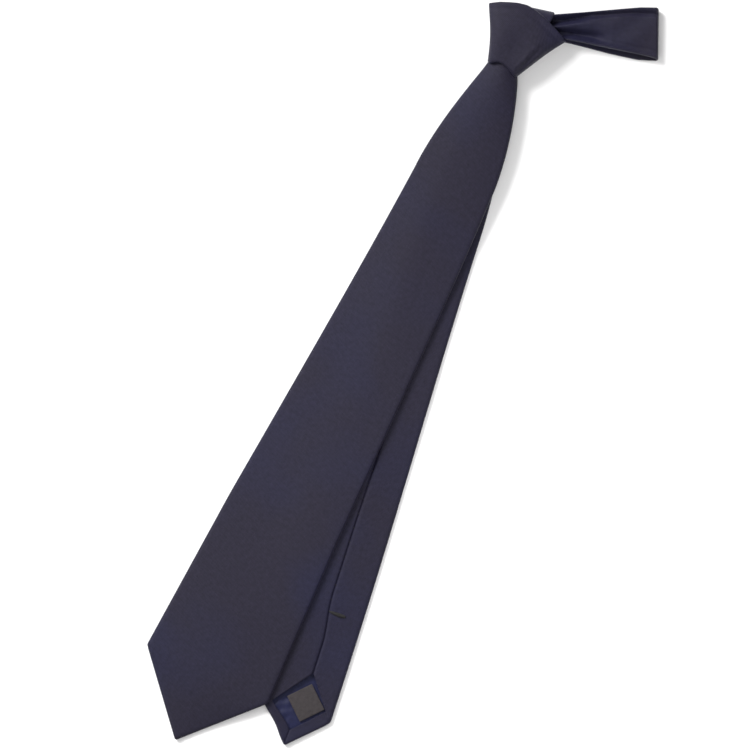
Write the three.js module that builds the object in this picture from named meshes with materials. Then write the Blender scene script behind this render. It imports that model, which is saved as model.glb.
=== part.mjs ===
import * as THREE from "three";

// Millimetres. X across the tie, Y from the tip up to the knot, Z from the table to the front.
// The origin is under the middle of the knot, on the table; the tie lies on Z = 0.

// Cloth and thread
const SILK = 0.5;
const WADDING = 0.8;
const LINING = 0.3;
const THREAD = 0.4;
const GAP = 0.3;
const FLAT_SLEEVE = 2 * SILK + 2 * GAP + WADDING;
const LINED_SLEEVE = FLAT_SLEEVE + GAP + LINING;
const EDGE = 0.5;
const SEAM_HALF = THREAD / 2 + GAP;
const POINT_HALF = 1.2;
const STEP = 16;

// Knot: five passes of cloth stacked one LAYER apart, wrapped by a flaring band
const KNOT_FOOT = -17;
const KNOT_HEIGHT = 31;
const KNOT_FOOT_HALF = 10;
const KNOT_FLARE = 0.5;
const BAND_CORNER = 1.5;
const BAND_CROWN = 2;
const BAND_ARCH = 3.5;
const BAND_PEAK = 7;
const BAND_SPLIT = 0.6;
const BAND_SPLIT_PLACE = 0.55;
const LAYER = FLAT_SLEEVE + GAP;
const BAND_BACK = 2 * LAYER - GAP;
const BAND_FRONT = 5 * LAYER;
const OVER_FOLD_RISE = 10.2;
const OVER_FOLD_CORNER = 2.5;
const OVER_FOLD_HALF = 14.5;
const OVER_FOLD_SHIFT = -1;
const OVER_FOLD_BACK_END = 6;
const OVER_FOLD_REACH = 2.5;
const CROSS_LOW = 7;
const CROSS_HIGH = 20;
const WALL_GAP = 1.4;

// Front blade
const FRONT_LENGTH = 447.5;
const FRONT_START = 3;
const FRONT_THROAT_HALF = 9.6;
const FRONT_SHOULDER_HALF = 24.6;
const FRONT_SHOULDER = 75;
const FRONT_SWELL = 1.7;
const FRONT_CORNER_HALF = 40.2;
const FRONT_DROP = 44;
const FRONT_BOW = 3.3;
const FRONT_BOW_LENGTH = 300;
const FRONT_BOW_EARLY = 0.6;
const FRONT_FALL = 220;
const FRONT_ROLL = 0.09;
const FRONT_HEM = 9;
const FRONT_APEX = 80;
const FRONT_TACK_UP = 96;

// Keeper loop across the back of the front blade
const KEEPER_UP = 165;
const KEEPER_TALL = 16;
const KEEPER_HALF = 17;
const KEEPER_THICK = 0.8;
const KEEPER_OFF = 0.4;
const KEEPER_TACK = 3;

// Tail
const TAIL_ANGLE = 8.15;
const TAIL_ORIGIN_UP = 5;
const TAIL_LENGTH = 430.9;
const TAIL_PIVOT = 15.4;
const TAIL_ROUND = 5.4;
const TAIL_SHOULDER_HALF = 17.4;
const TAIL_SHOULDER = 90;
const TAIL_CORNER_HALF = 21.2;
const TAIL_DROP = 21.2;
const TAIL_FALL = 60;
const TAIL_HEM = 6.6;
const TAIL_APEX = 44;
const TAIL_TACK_UP = 85;
const TAIL_TACK_SHIFT = 4.7;
const SHANK_HALF = 5;
const SHANK_UP = 9;
const TACK_HALF = 5;
const TACK_TALL = 1.5;
const TACK_THICK = 0.6;

// Label in the opening of the tail
const LABEL_SIDE = 16.8;
const LABEL_THICK = 0.4;
const LABEL_UP = 28.3;
const LABEL_SHIFT = 3.2;
const STITCH_LONG = 2;
const STITCH_INSET = 1.6;

// Neck loop, flattened and lying to the right of the knot
const NECK_ANGLE = 22.7;
const NECK_MOUTH_IN = 5.3;
const NECK_MOUTH_RISE = 6.2;
const NECK_LENGTH = 57.8;
const NECK_HEIGHT = 11;
const NECK_ROOT_HALF = 5.5;
const NECK_ROOT_IN = 12;
const NECK_ROOT_OUT = 8.5;
const NECK_START = 9;
const NECK_START_HALF = 7.5;
const NECK_SPREAD_HALF = 11.5;
const NECK_SPREAD = 20;
const NECK_FOLD_HALF = 16.2;
const NECK_SETTLE = 30;
const FOLD_STEPS = 8;

const COLOURS = {
  silk: [0x3b3849, 0.55],
  satin: [0x282a55, 0.35],
  wool: [0xb8b2a4, 0.95],
  thread: [0x1b1a24, 0.7],
  label: [0x46413e, 0.8],
};

const radians = THREE.MathUtils.degToRad;

function mesh(name, cloth, geometry) {
  const [color, roughness] = COLOURS[cloth];
  const body = new THREE.Mesh(
    geometry,
    new THREE.MeshStandardMaterial({ color, roughness, metalness: 0 }),
  );
  body.name = name;
  return body;
}

function ease(t) {
  const u = THREE.MathUtils.clamp(t, 0, 1);
  return u * u * (3 - 2 * u);
}

// One closed body through rings of equally many points; outlines close its two ends.
function sweep(rings, firstOutline, lastOutline) {
  const count = rings[0].length;
  const index = [];
  for (let i = 0; i + 1 < rings.length; i++) {
    for (let j = 0; j < count; j++) {
      const a = i * count + j;
      const b = i * count + ((j + 1) % count);
      index.push(a, b, b + count, a, b + count, a + count);
    }
  }
  const last = (rings.length - 1) * count;
  for (const [a, b, c] of faces(firstOutline)) {
    index.push(c, b, a);
  }
  for (const [a, b, c] of faces(lastOutline)) {
    index.push(last + a, last + b, last + c);
  }
  const points = rings.flat();
  if (volume(points, index) < 0) {
    index.reverse();
  }
  const geometry = new THREE.BufferGeometry().setFromPoints(points);
  geometry.setIndex(index);
  geometry.computeVertexNormals();
  return geometry;
}

function faces(outline) {
  const corners = outline.map(([a, b]) => new THREE.Vector2(a, b));
  return THREE.ShapeUtils.triangulateShape(corners, []).map(([a, b, c]) => {
    const area = THREE.ShapeUtils.area([corners[a], corners[b], corners[c]]);
    return area < 0 ? [a, c, b] : [a, b, c];
  });
}

function volume(points, index) {
  let six = 0;
  for (let i = 0; i < index.length; i += 3) {
    const [a, b, c] = [points[index[i]], points[index[i + 1]], points[index[i + 2]]];
    six += a.dot(new THREE.Vector3().crossVectors(b, c));
  }
  return six / 6;
}

// Section of a cloth folded round from both sides, its two edges meeting at a seam in the back.
function foldedOutline(half, thick, seam) {
  const inner = half - SILK;
  return [
    [seam, 0],
    [half - EDGE, 0],
    [half, EDGE],
    [half, thick - EDGE],
    [half - EDGE, thick],
    [EDGE - half, thick],
    [-half, thick - EDGE],
    [-half, EDGE],
    [EDGE - half, 0],
    [-seam, 0],
    [-seam, SILK],
    [-inner, SILK],
    [-inner, thick - SILK],
    [inner, thick - SILK],
    [inner, SILK],
    [seam, SILK],
  ];
}

function flatOutline(left, right, low, high) {
  return [[left, low], [right, low], [right, high], [left, high]];
}

// A body whose section at each station is given by outline(station) and laid down by place.
function along(stations, outline, place) {
  const outlines = stations.map(outline);
  const rings = stations.map((at, i) => outlines[i].map(([a, b]) => place(at, a, b)));
  return sweep(rings, outlines[0], outlines[outlines.length - 1]);
}

// Outer silk, interlining inside it, of one plain run of the tie.
function runOfCloth(name, stations, half, place) {
  const wool = 2 * GAP + 2 * SILK;
  const low = SILK + GAP;
  const silk = (at) => foldedOutline(half(at), FLAT_SLEEVE, SEAM_HALF);
  const core = (at) => {
    const inside = half(at) - wool / 2;
    return flatOutline(-inside, inside, low, low + WADDING);
  };
  const cored = stations.filter((at) => half(at) > 2 * POINT_HALF);
  return [
    mesh(`${name}_silk`, "silk", along(stations, silk, place)),
    mesh(`${name}_interlining`, "wool", along(cored, core, place)),
  ];
}

// A straight block between two stations, given sideways and depth limits.
function block(from, to, left, right, low, high, place) {
  return along([from, to], () => flatOutline(left, right, low, high), place);
}

// Points and outward normals along a line with rounded corners.
// counts[i] is how many extra points lie on the straight after corner i.
function roundedLine(corners, radius, counts, steps) {
  const line = [];
  for (let i = 0; i < corners.length; i++) {
    const here = corners[i];
    const before = corners[i - 1];
    const after = corners[i + 1];
    const inward = before && here.clone().sub(before).normalize();
    const outward = after && after.clone().sub(here).normalize();
    if (!before || !after) {
      line.push({ point: here, heading: inward || outward });
    } else {
      const start = here.clone().addScaledVector(inward, -radius);
      const centre = start.clone().addScaledVector(outward, radius);
      for (let k = 0; k <= steps; k++) {
        const turn = (k / steps) * (Math.PI / 2);
        const point = centre.clone();
        point.addScaledVector(outward, -radius * Math.cos(turn));
        point.addScaledVector(inward, radius * Math.sin(turn));
        const heading = inward.clone().multiplyScalar(Math.cos(turn));
        heading.addScaledVector(outward, Math.sin(turn));
        line.push({ point, heading });
      }
    }
    const extra = counts[i] || 0;
    const from = line[line.length - 1].point;
    const end = after && corners[i + 2] ? after.clone().addScaledVector(outward, -radius) : after;
    for (let k = 1; k <= extra; k++) {
      line.push({ point: from.clone().lerp(end, k / (extra + 1)), heading: outward });
    }
  }
  return line;
}

// Half-width inside the band at a height above the foot of the knot.
function insideBand(up) {
  return KNOT_FOOT_HALF + KNOT_FLARE * up - FLAT_SLEEVE;
}

// The band: once round the knot, from the back, over the front, to the back again.
function bandLine(half) {
  const split = half * BAND_SPLIT_PLACE;
  const corners = [
    new THREE.Vector2(split - BAND_SPLIT / 2, BAND_BACK),
    new THREE.Vector2(-half, BAND_BACK),
    new THREE.Vector2(-half, BAND_FRONT),
    new THREE.Vector2(half, BAND_FRONT),
    new THREE.Vector2(half, BAND_BACK),
    new THREE.Vector2(split + BAND_SPLIT / 2, BAND_BACK),
  ];
  return roundedLine(corners, BAND_CORNER, [2, 0, 7, 0, 0, 0], 3);
}

function placeOnBand(index, a, b) {
  const across = a / KNOT_HEIGHT + 0.5;
  const half = insideBand(across * KNOT_HEIGHT);
  const { point, heading } = bandLine(half)[index];
  const x = point.x - heading.y * b;
  const z = point.y + heading.x * b;
  const middle = Math.max(0, 1 - (point.x / half) ** 2);
  const front = ease((z - BAND_BACK) / (BAND_FRONT - BAND_BACK)) * middle;
  const low = BAND_ARCH * front;
  const high = KNOT_HEIGHT + BAND_PEAK * front;
  const up = THREE.MathUtils.lerp(low, high, across);
  const crown = BAND_CROWN * front * across;
  return new THREE.Vector3(x, KNOT_FOOT + up, z + crown);
}

function knotBand() {
  const stations = bandLine(insideBand(0)).map((_, index) => index);
  return runOfCloth("knot_band", stations, () => KNOT_HEIGHT / 2, placeOnBand);
}

// The last pass: up behind the knot, over its top, and down inside the band to the front blade.
function overFold() {
  const top = KNOT_HEIGHT + OVER_FOLD_RISE;
  const corners = [
    new THREE.Vector2(OVER_FOLD_BACK_END, FLAT_SLEEVE),
    new THREE.Vector2(top, FLAT_SLEEVE),
    new THREE.Vector2(top, 4 * LAYER),
    new THREE.Vector2(-OVER_FOLD_REACH, 4 * LAYER),
  ];
  const line = roundedLine(corners, OVER_FOLD_CORNER, [1, 0, 4, 0], 4);
  const stations = line.map((_, index) => index);
  const half = (index) => {
    const up = Math.max(0, line[index].point.x);
    return Math.min(OVER_FOLD_HALF, insideBand(up) - WALL_GAP);
  };
  const place = (index, a, b) => {
    const { point, heading } = line[index];
    const up = point.x + heading.y * b;
    const z = point.y - heading.x * b;
    const shift = OVER_FOLD_SHIFT * ease(up / KNOT_HEIGHT);
    return new THREE.Vector3(shift + a, KNOT_FOOT + up, z);
  };
  return runOfCloth("knot_over_fold", stations, half, place);
}

// The first pass, straight across the tail inside the band.
function crossPass() {
  const tall = CROSS_HIGH - CROSS_LOW;
  const place = (side, a, b) => {
    const up = CROSS_LOW + tall / 2 + a;
    const x = side * (insideBand(up) - WALL_GAP);
    return new THREE.Vector3(x, KNOT_FOOT + up, 3 * LAYER + b);
  };
  return runOfCloth("knot_cross_pass", [-1, 1], () => tall / 2, place);
}

// Half-width of the diamond left open between the hems and the two flaps at a tip.
function openingHalf(blade, at) {
  const up = blade.length - at;
  const slope = blade.corner / blade.drop;
  const hemEdge = (up - blade.hem * Math.SQRT2) * slope;
  const flapEdge = (blade.apex - up) * slope;
  return Math.max(SEAM_HALF, Math.min(hemEdge, flapEdge));
}

function bladeHalf(blade, at) {
  const up = blade.length - at;
  if (up < blade.drop) {
    return Math.max(POINT_HALF, (blade.corner * up) / blade.drop);
  }
  return blade.body(at);
}

function bladeStations(blade) {
  const widest = (blade.apex + blade.hem * Math.SQRT2) / 2;
  const ups = [blade.apex, widest, blade.drop, blade.hem * Math.SQRT2];
  ups.push((POINT_HALF * blade.drop) / blade.corner);
  const stations = [...blade.first];
  const lastEven = blade.length - blade.apex - STEP / 2;
  for (let at = blade.first[blade.first.length - 1] + STEP; at < lastEven; at += STEP) {
    stations.push(at);
  }
  return [...stations, ...ups.map((up) => blade.length - up)];
}

// Every layer of a blade that ends in a point: silk, interlining, tipping, seam thread, bar tack.
function bladePieces(blade) {
  const { name, place, length } = blade;
  const stations = bladeStations(blade);
  const half = (at) => bladeHalf(blade, at);
  const side = SILK + GAP;
  const tippingLow = SILK + GAP;
  const woolLow = tippingLow + LINING + GAP;
  const silk = (at) => foldedOutline(half(at), LINED_SLEEVE, openingHalf(blade, at));
  const wool = (at) => flatOutline(side - half(at), half(at) - side, woolLow, woolLow + WADDING);
  const satin = (at) => {
    return flatOutline(side - half(at), half(at) - side, tippingLow, tippingLow + LINING);
  };
  const cored = stations.filter((at) => half(at) > 2 * POINT_HALF);
  const pointed = length - (2 * POINT_HALF * blade.drop) / blade.corner;
  cored.push(pointed);
  const tipped = cored.filter((at) => at > length - blade.tack - 2 * TACK_HALF);
  const sewn = stations.filter((at) => at <= length - blade.apex && half(at) > 2 * POINT_HALF);
  const thread = () => flatOutline(-THREAD / 2, THREAD / 2, 0, THREAD);
  const tackAt = length - blade.tack;
  const tack = block(
    tackAt,
    tackAt + TACK_TALL,
    blade.tackShift - TACK_HALF,
    blade.tackShift + TACK_HALF,
    -GAP - TACK_THICK,
    -GAP,
    place,
  );
  return [
    mesh(`${name}_silk`, "silk", along(stations, silk, place)),
    mesh(`${name}_interlining`, "wool", along(cored, wool, place)),
    mesh(`${name}_tipping`, "satin", along(tipped, satin, place)),
    mesh(`${name}_slip_stitch`, "thread", along(sewn, thread, place)),
    mesh(`${name}_bar_tack`, "thread", tack),
  ];
}

function frontBody(at) {
  const shoulder = 1 - (1 - Math.min(1, at / FRONT_SHOULDER)) ** FRONT_SWELL;
  if (at < FRONT_SHOULDER) {
    return THREE.MathUtils.lerp(FRONT_THROAT_HALF, FRONT_SHOULDER_HALF, shoulder);
  }
  const taper = (at - FRONT_SHOULDER) / (FRONT_LENGTH - FRONT_DROP - FRONT_SHOULDER);
  return THREE.MathUtils.lerp(FRONT_SHOULDER_HALF, FRONT_CORNER_HALF, taper);
}

// The blade comes down to lie with its left edge on the table and its right side over the tail.
function placeOnFront(at, a, b) {
  const bow = FRONT_BOW * Math.sin(Math.PI * Math.min(1, at / FRONT_BOW_LENGTH) ** FRONT_BOW_EARLY);
  const high = 5 * LAYER - GAP - LINED_SLEEVE;
  const fall = ease((at - FRONT_START) / FRONT_FALL);
  const half = bladeHalf(FRONT, at);
  const z = high * (1 - fall) + FRONT_ROLL * fall * (half + a);
  return new THREE.Vector3(bow + a, KNOT_FOOT - at, z + b);
}

const FRONT = {
  name: "front",
  place: placeOnFront,
  length: FRONT_LENGTH,
  corner: FRONT_CORNER_HALF,
  drop: FRONT_DROP,
  hem: FRONT_HEM,
  apex: FRONT_APEX,
  tack: FRONT_TACK_UP,
  tackShift: 0,
  body: frontBody,
  first: [FRONT_START, 6, 10, 15, 22, 30, 40, 50, 62, FRONT_SHOULDER],
};

function keeperLoop() {
  const at = FRONT_LENGTH - KEEPER_UP;
  const low = -KEEPER_OFF - KEEPER_THICK;
  const strap = block(at, at + KEEPER_TALL, -KEEPER_HALF, KEEPER_HALF, low, -KEEPER_OFF, placeOnFront);
  const tacks = [-1, 1].map((side) => {
    const near = side * (KEEPER_HALF + GAP);
    const far = near + side * KEEPER_TACK;
    const middle = at + KEEPER_TALL / 2;
    const tack = block(
      middle,
      middle + TACK_TALL,
      Math.min(near, far),
      Math.max(near, far),
      -GAP - TACK_THICK,
      -GAP,
      placeOnFront,
    );
    return mesh(`keeper_tack_${side < 0 ? "left" : "right"}`, "thread", tack);
  });
  return [mesh("keeper_loop", "silk", strap), ...tacks];
}

// A point on the tail: at runs down its axis, a to its right, b down from its upturned back.
function placeOnAxis(at, a, z) {
  const turn = radians(TAIL_ANGLE);
  const x = at * Math.sin(turn) + a * Math.cos(turn);
  const y = KNOT_FOOT + TAIL_ORIGIN_UP - at * Math.cos(turn) + a * Math.sin(turn);
  return new THREE.Vector3(x, y, z);
}

function placeOnTail(at, a, b) {
  const fall = ease((at - TAIL_PIVOT) / TAIL_FALL);
  const low = THREE.MathUtils.lerp(2 * LAYER, 0, fall);
  return placeOnAxis(at, a, low + LINED_SLEEVE - b);
}

function tailBody(at) {
  const below = at - TAIL_PIVOT;
  if (below < 0) {
    return Math.sqrt(TAIL_ROUND ** 2 - below ** 2);
  }
  if (below < TAIL_SHOULDER) {
    const shoulder = 1 - (1 - below / TAIL_SHOULDER) ** 2;
    return THREE.MathUtils.lerp(TAIL_ROUND, TAIL_SHOULDER_HALF, shoulder);
  }
  const from = TAIL_PIVOT + TAIL_SHOULDER;
  const taper = (at - from) / (TAIL_LENGTH - TAIL_DROP - from);
  return THREE.MathUtils.lerp(TAIL_SHOULDER_HALF, TAIL_CORNER_HALF, taper);
}

function tail() {
  const rounded = [-0.97, -0.85, -0.6, -0.3, 0].map((part) => TAIL_PIVOT + part * TAIL_ROUND);
  const opening = [6, 14, 24, 36, 50, 70, TAIL_SHOULDER].map((below) => TAIL_PIVOT + below);
  return bladePieces({
    name: "tail",
    place: placeOnTail,
    length: TAIL_LENGTH,
    corner: TAIL_CORNER_HALF,
    drop: TAIL_DROP,
    hem: TAIL_HEM,
    apex: TAIL_APEX,
    tack: TAIL_TACK_UP,
    tackShift: TAIL_TACK_SHIFT,
    body: tailBody,
    first: [...rounded, ...opening],
  });
}

// The part of the tail inside the knot, ending clear of the tail's rounded start.
function tailShank() {
  const from = TAIL_ORIGIN_UP - SHANK_UP;
  const to = TAIL_PIVOT - TAIL_ROUND - GAP;
  const place = (at, a, b) => placeOnAxis(at, a, 3 * LAYER - GAP - b);
  return runOfCloth("tail_shank", [from, to], () => SHANK_HALF, place);
}

// A flat square on the tail, turned half a right angle, between two depths.
function turnedSquare(at, shift, long, wide, turn, low, high) {
  const [c, s] = [Math.cos(turn), Math.sin(turn)];
  const corners = [[-1, -1], [1, -1], [1, 1], [-1, 1]].map(([u, v]) => {
    return [(u * long * c - v * wide * s) / 2, (u * long * s + v * wide * c) / 2];
  });
  const rings = [low, high].map((b) => corners.map(([u, v]) => placeOnTail(at + u, shift + v, b)));
  return sweep(rings, corners, corners);
}

function label() {
  const at = TAIL_LENGTH - LABEL_UP;
  const top = SILK + GAP - GAP - LABEL_THICK;
  const turn = radians(45);
  const square = turnedSquare(at, LABEL_SHIFT, LABEL_SIDE, LABEL_SIDE, turn, top, top + LABEL_THICK);
  const reach = (LABEL_SIDE / 2) * Math.SQRT2 - STITCH_INSET;
  const stitches = [0, 1, 2, 3].map((k) => {
    const angle = (k * Math.PI) / 2;
    const along = at + reach * Math.cos(angle);
    const aside = LABEL_SHIFT + reach * Math.sin(angle);
    const low = top - GAP - THREAD / 2;
    const bar = turnedSquare(along, aside, THREAD, STITCH_LONG, angle, low, top - GAP);
    return mesh(`label_stitch_${k + 1}`, "thread", bar);
  });
  return [mesh("tail_label", "label", square), ...stitches];
}

// A point by the neck loop: s out from the mouth of the knot, a across, z up.
function placeByNeck(s, a, z) {
  const turn = radians(NECK_ANGLE);
  const mouthX = KNOT_FOOT_HALF + KNOT_FLARE * KNOT_HEIGHT - NECK_MOUTH_IN;
  const mouthY = KNOT_FOOT + KNOT_HEIGHT + NECK_MOUTH_RISE;
  const x = mouthX + s * Math.cos(turn) - a * Math.sin(turn);
  const y = mouthY + s * Math.sin(turn) + a * Math.cos(turn);
  return new THREE.Vector3(x, y, z);
}

function neckRoot() {
  const stations = [-NECK_ROOT_IN, NECK_ROOT_OUT];
  const lower = (s, a, b) => placeByNeck(s, a, 3 * LAYER - GAP - b);
  const upper = (s, a, b) => placeByNeck(s, a, 3 * LAYER + b);
  const half = () => NECK_ROOT_HALF;
  return [
    ...runOfCloth("neck_root_lower", stations, half, lower),
    ...runOfCloth("neck_root_upper", stations, half, upper),
  ];
}

// Inner face of the flattened loop: out along the upper ply, round the fold, back along the lower.
function neckLine() {
  const inner = NECK_HEIGHT / 2 - FLAT_SLEEVE;
  const foldAt = NECK_LENGTH - NECK_HEIGHT / 2;
  const middle = NECK_HEIGHT / 2;
  const line = [];
  const outs = [NECK_START, 12, 16, NECK_SPREAD, 25, NECK_SETTLE, 37, 45];
  for (const s of outs) {
    const rise = ease((s - NECK_START) / (NECK_SETTLE - NECK_START));
    line.push({ s, z: THREE.MathUtils.lerp(3 * LAYER, middle + inner, rise), ns: 0, nz: 1 });
  }
  for (let k = 0; k <= FOLD_STEPS; k++) {
    const turn = Math.PI * (k / FOLD_STEPS);
    const [ns, nz] = [Math.sin(turn), Math.cos(turn)];
    line.push({ s: foldAt + inner * ns, z: middle + inner * nz, ns, nz });
  }
  for (const s of outs.slice().reverse()) {
    const rise = ease((s - NECK_START) / (NECK_SETTLE - NECK_START));
    line.push({ s, z: THREE.MathUtils.lerp(3 * LAYER - GAP, middle - inner, rise), ns: 0, nz: -1 });
  }
  return line;
}

function neckHalf(s) {
  if (s < NECK_SPREAD) {
    const part = (s - NECK_START) / (NECK_SPREAD - NECK_START);
    return THREE.MathUtils.lerp(NECK_START_HALF, NECK_SPREAD_HALF, part);
  }
  const part = Math.min(1, (s - NECK_SPREAD) / (NECK_LENGTH - NECK_HEIGHT / 2 - NECK_SPREAD));
  return THREE.MathUtils.lerp(NECK_SPREAD_HALF, NECK_FOLD_HALF, part);
}

function neckLoop() {
  const line = neckLine();
  const stations = line.map((_, index) => index);
  const half = (index) => neckHalf(line[index].s);
  const place = (index, a, b) => {
    const { s, z, ns, nz } = line[index];
    return placeByNeck(s + ns * b, a, z + nz * b);
  };
  const thread = () => flatOutline(-THREAD / 2, THREAD / 2, 0, THREAD);
  return [
    ...runOfCloth("neck_loop", stations, half, place),
    mesh("neck_loop_slip_stitch", "thread", along(stations, thread, place)),
  ];
}

const necktie = new THREE.Group();
necktie.name = "necktie";
necktie.add(
  ...knotBand(),
  ...overFold(),
  ...crossPass(),
  ...bladePieces(FRONT),
  ...keeperLoop(),
  ...tailShank(),
  ...tail(),
  ...label(),
  ...neckRoot(),
  ...neckLoop(),
);

export default necktie;
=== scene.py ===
import math

import bmesh
import bpy
import numpy as np
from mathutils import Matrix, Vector


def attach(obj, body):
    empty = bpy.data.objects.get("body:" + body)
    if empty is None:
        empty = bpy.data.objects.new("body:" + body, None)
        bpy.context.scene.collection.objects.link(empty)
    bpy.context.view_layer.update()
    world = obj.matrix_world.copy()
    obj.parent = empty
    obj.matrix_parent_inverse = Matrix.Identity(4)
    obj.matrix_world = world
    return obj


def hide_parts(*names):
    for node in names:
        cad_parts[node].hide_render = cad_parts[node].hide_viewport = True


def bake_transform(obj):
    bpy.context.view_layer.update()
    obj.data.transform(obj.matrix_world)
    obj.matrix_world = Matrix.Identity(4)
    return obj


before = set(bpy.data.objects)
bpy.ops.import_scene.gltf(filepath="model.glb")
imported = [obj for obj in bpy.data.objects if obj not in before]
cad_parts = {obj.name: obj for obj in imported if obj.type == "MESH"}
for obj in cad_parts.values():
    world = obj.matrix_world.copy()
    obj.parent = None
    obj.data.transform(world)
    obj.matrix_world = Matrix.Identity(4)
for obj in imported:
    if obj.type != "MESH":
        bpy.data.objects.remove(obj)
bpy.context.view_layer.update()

# Sizes are millimetres in the tie's own layout: x across, up from the foot of the knot towards
# the neck, z above the table. place() turns them into metres in the row frame.
FOOT = -17.0
MM = 0.001
WELD = 0.000002
SILK = 0.45

FRONT_LENGTH = 447.5
FRONT_DROP = 44.0
FRONT_CORNER = 40.2
FRONT_HEM = 9.0
FRONT_APEX = 80.0
TAIL_ANGLE = math.radians(8.15)
TAIL_UP = 5.0
TAIL_LENGTH = 430.9
TAIL_DROP = 21.2
TAIL_CORNER = 21.2
TAIL_APEX = (2.4, 46.2)
TAIL_LEFT = (-16.4, 23.3)
TAIL_RIGHT = (16.6, 26.6)
TAIL_POINT = (-0.4, 9.6)
SEAM = 0.12
FRONT_THICK = 2.7
FRONT_WAIST_AT = 75
FRONT_WAIST = 24.6
FRONT_AT_KNOT = 9.6
TAIL_THICK = 2.7
TAIL_WAIST_AT = 105
TAIL_WAIST = 17.6
TAIL_AT_KNOT = 6.0
TAIL_WIDENS_AT = 14
TAIL_FLARE = 260
SATIN = 0.25
TAIL_SATIN_DEEP = 1.75

KNOT_HEIGHT = 31.0
BAND_THICK = 2.4
OVER_FOLD_THICK = 2.3
NECK_ANGLE = math.radians(22.7)
MOUTH = np.array([20.2, 37.2])
FOLD_AT = 56.9
FOLD_REACH = 0.35
PLY = 2.2
PLY_AT_FOLD = 1.4

LABEL_AT = TAIL_LENGTH - 28.1
LABEL_SHIFT = 3.5
LABEL_SIDE = 17.2
LABEL_TURN = math.radians(44)
LABEL_THICK = 0.4
KEEPER_HALF = 17.0
KEEPER_TALL = 16.0
KEEPER_UP = 165
KEEPER_AT = FRONT_LENGTH - KEEPER_UP + KEEPER_TALL / 2
KEEPER_THICK = 0.8
STITCH_STEP = 9.0
STITCH_RADIUS = 0.16
LABEL_STITCH_RADIUS = 0.14
STRAND_SIDES = 6
STRAND_STEPS = 7

# How the cloth's colour is mixed: where its soft patches lie, how much of them shows, and how
# much the grain darkens it. On the silk the soft bluish patches are partly random tone and partly
# painted sheen.
PATCH_AND_SHEEN_SHIFT = (0.31, 0.17, 0.0)
PATCH_AND_SHEEN_SHARE = 0.38
GRAIN_SHARE = 0.28


def ease(t):
    t = np.clip(t, 0.0, 1.0)
    return t * t * (3.0 - 2.0 * t)


def bump(x, centre, width):
    return np.exp(-(((x - centre) / width) ** 2))


def place(points):
    out = np.array(points, float)
    out[..., 1] += FOOT
    return out * MM


# ---------------------------------------------------------------- materials


def new_material(name):
    material = bpy.data.materials.new(name)
    material.use_nodes = True
    nodes = material.node_tree.nodes
    shader = nodes["Principled BSDF"]
    return material, nodes, material.node_tree.links, shader


def node(nodes, kind, **values):
    made = nodes.new(kind)
    for key, value in values.items():
        if hasattr(made, key):
            setattr(made, key, value)
        else:
            made.inputs[key.replace("_", " ")].default_value = value
    return made


def mixed(nodes, links, factor, low, high):
    mix = nodes.new("ShaderNodeMix")
    mix.data_type = "RGBA"
    links.new(factor, mix.inputs["Factor"])
    for socket, value in ((mix.inputs["A"], low), (mix.inputs["B"], high)):
        if hasattr(value, "links"):
            links.new(value, socket)
        else:
            socket.default_value = (*value, 1.0)
    return mix.outputs["Result"]


def ramp(nodes, links, factor, low, high):
    made = nodes.new("ShaderNodeMapRange")
    made.inputs["From Min"].default_value = low
    made.inputs["From Max"].default_value = high
    made.clamp = True
    links.new(factor, made.inputs["Value"])
    return made.outputs["Result"]


def added(nodes, links, a, b, share):
    made = nodes.new("ShaderNodeMath")
    made.operation = "MULTIPLY_ADD"
    links.new(b, made.inputs[0])
    made.inputs[1].default_value = share
    links.new(a, made.inputs[2])
    return made.outputs[0]


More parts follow.
